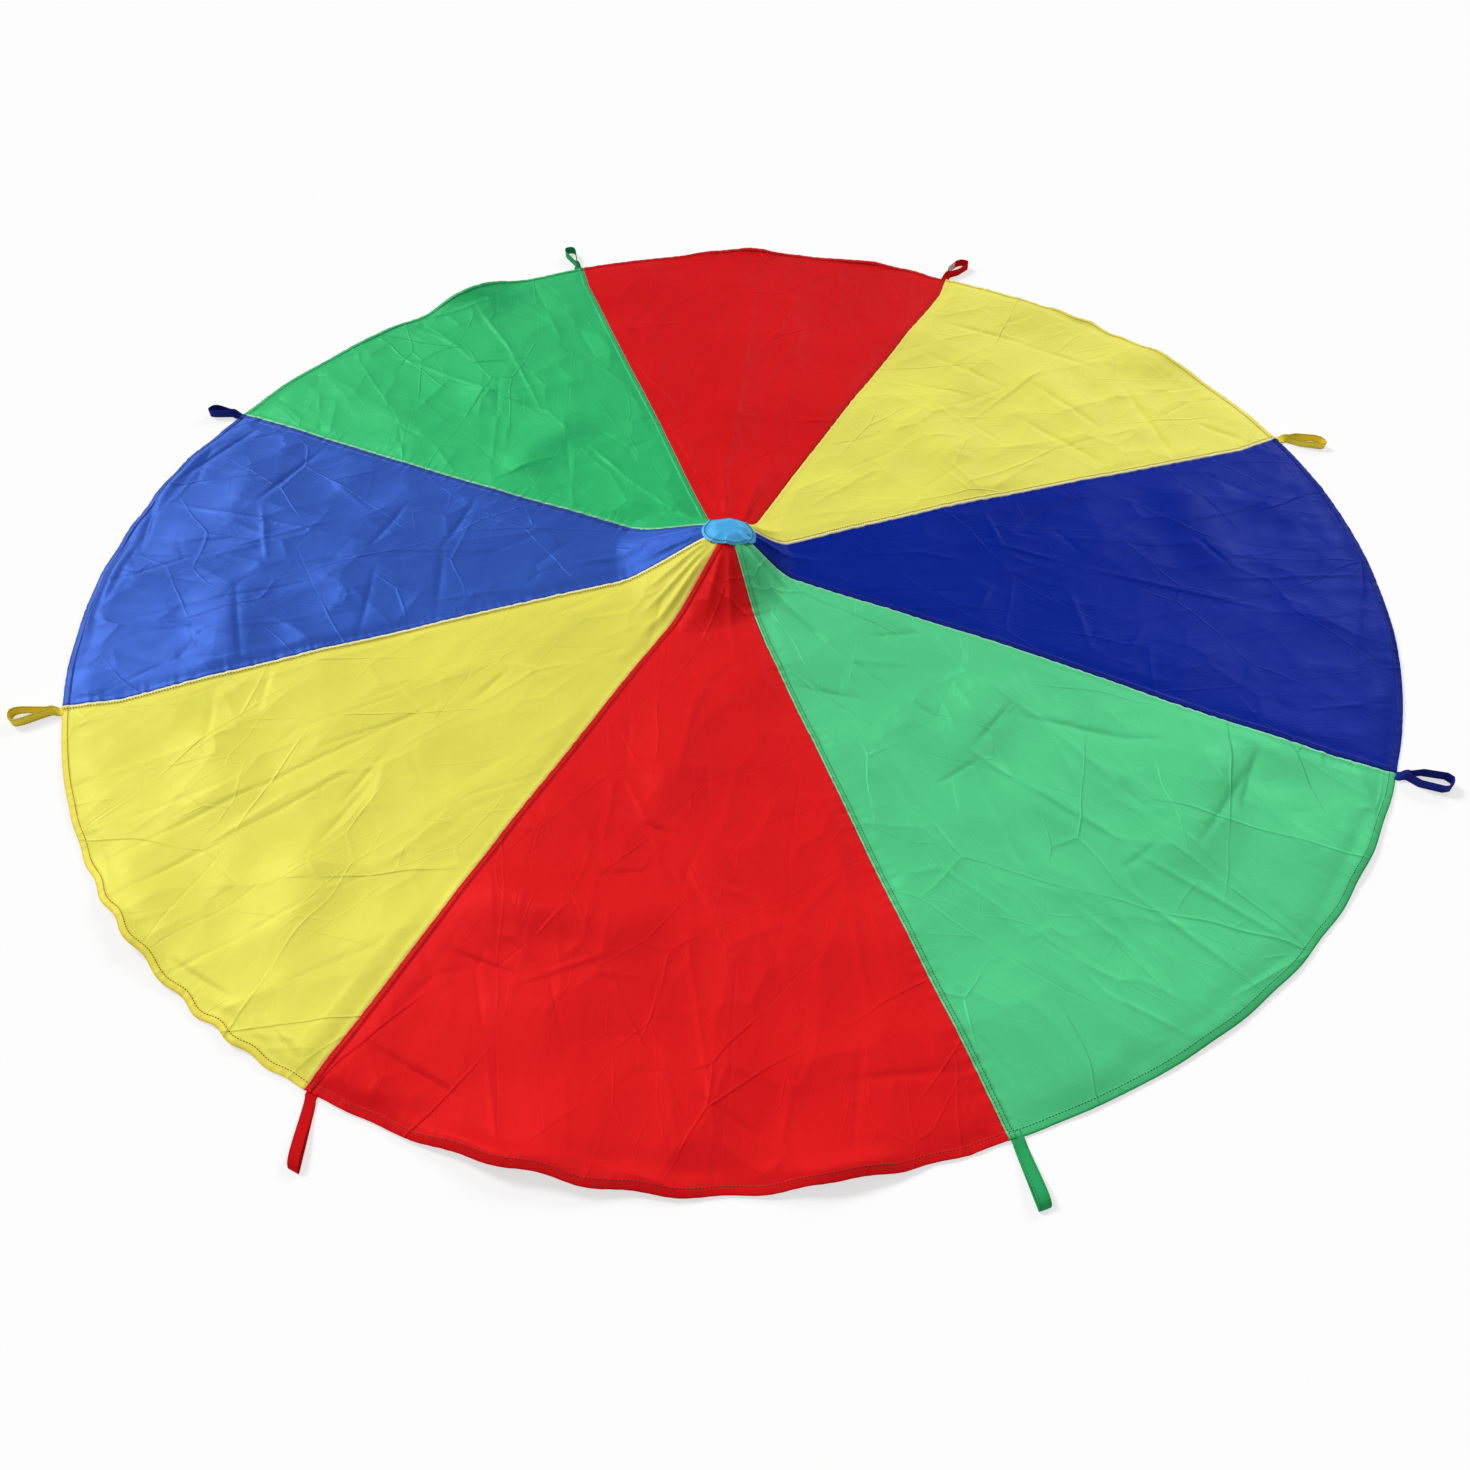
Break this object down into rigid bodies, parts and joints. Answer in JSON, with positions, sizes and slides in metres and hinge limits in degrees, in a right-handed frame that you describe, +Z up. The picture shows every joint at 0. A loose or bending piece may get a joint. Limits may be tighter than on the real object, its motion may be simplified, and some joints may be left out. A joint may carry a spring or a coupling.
{
  "type": "play parachute",
  "caption": "Round play parachute lying open on a floor: coloured cloth gores seamed into a canopy, with a centre cap, a rolled hem and hinged hand loops of folded strap round the rim.",
  "frame": {"origin": "on the floor under the middle of the canopy", "axes": "+Z up from the floor, +X out along the first seam; seams, gores and loops are numbered anticlockwise from above"},
  "size_m": [2.1419, 2.1591, 0.063],
  "materials": {
    "blue_cloth": "satin woven polyester",
    "cap_cloth": "satin woven polyester",
    "dark_thread": "matt sewing thread",
    "green_cloth": "satin woven polyester",
    "red_cloth": "satin woven polyester",
    "tab_cloth": "satin woven polyester",
    "yellow_cloth": "satin woven polyester"
  },
  "bodies": {
    "canopy": {"gore_1_yellow": "yellow_cloth", "gore_2_red": "red_cloth", "gore_3_green": "green_cloth", "gore_4_blue": "blue_cloth", "gore_5_yellow": "yellow_cloth", "gore_6_red": "red_cloth", "gore_7_green": "green_cloth", "gore_8_blue": "blue_cloth", "centre_cap": "cap_cloth", "cap_thread": "dark_thread", "hem_thread": "dark_thread", "seam_thread_1": "dark_thread", "seam_thread_2": "dark_thread", "seam_thread_3": "dark_thread", "seam_thread_4": "dark_thread", "seam_thread_5": "dark_thread", "seam_thread_6": "dark_thread", "seam_thread_7": "dark_thread", "seam_thread_8": "dark_thread"},
    "loop_1": {"hand_loop_1_yellow": "yellow_cloth"},
    "loop_2": {"hand_loop_2_red": "red_cloth", "sewn_tab": "tab_cloth"},
    "loop_3": {"hand_loop_3_green": "green_cloth"},
    "loop_4": {"hand_loop_4_blue": "blue_cloth"},
    "loop_5": {"hand_loop_5_yellow": "yellow_cloth"},
    "loop_6": {"hand_loop_6_red": "red_cloth"},
    "loop_7": {"hand_loop_7_green": "green_cloth"},
    "loop_8": {"hand_loop_8_blue": "blue_cloth"}
  },
  "joints": [
    {"name": "loop_1_hinge", "type": "hinge", "parent": "canopy", "child": "loop_1", "pos_m": [1.0055, -0.00277, 0.0023], "axis": [0, -1, 0], "range_deg": [0, 125]},
    {"name": "loop_2_hinge", "type": "hinge", "parent": "canopy", "child": "loop_2", "pos_m": [0.68593, 0.71318, 0.0023], "axis": [0.7071, -0.7071, 0], "range_deg": [0, 125]},
    {"name": "loop_3_hinge", "type": "hinge", "parent": "canopy", "child": "loop_3", "pos_m": [-0.0246, 1.00695, 0.0023], "axis": [1, 0, 0], "range_deg": [0, 125]},
    {"name": "loop_4_hinge", "type": "hinge", "parent": "canopy", "child": "loop_4", "pos_m": [-0.72407, 0.67929, 0.0023], "axis": [0.7071, 0.7071, 0], "range_deg": [0, 125]},
    {"name": "loop_5_hinge", "type": "hinge", "parent": "canopy", "child": "loop_5", "pos_m": [-0.99951, 0.00697, 0.0023], "axis": [0, 1, 0], "range_deg": [0, 125]},
    {"name": "loop_6_hinge", "type": "hinge", "parent": "canopy", "child": "loop_6", "pos_m": [-0.71674, -0.69808, 0.0023], "axis": [-0.7071, 0.7071, 0], "range_deg": [0, 160]},
    {"name": "loop_7_hinge", "type": "hinge", "parent": "canopy", "child": "loop_7", "pos_m": [-0.00673, -0.99945, 0.0023], "axis": [-1, 0, 0], "range_deg": [0, 160]},
    {"name": "loop_8_hinge", "type": "hinge", "parent": "canopy", "child": "loop_8", "pos_m": [0.70444, -0.71328, 0.0023], "axis": [-0.7071, -0.7071, 0], "range_deg": [0, 125]}
  ]
}
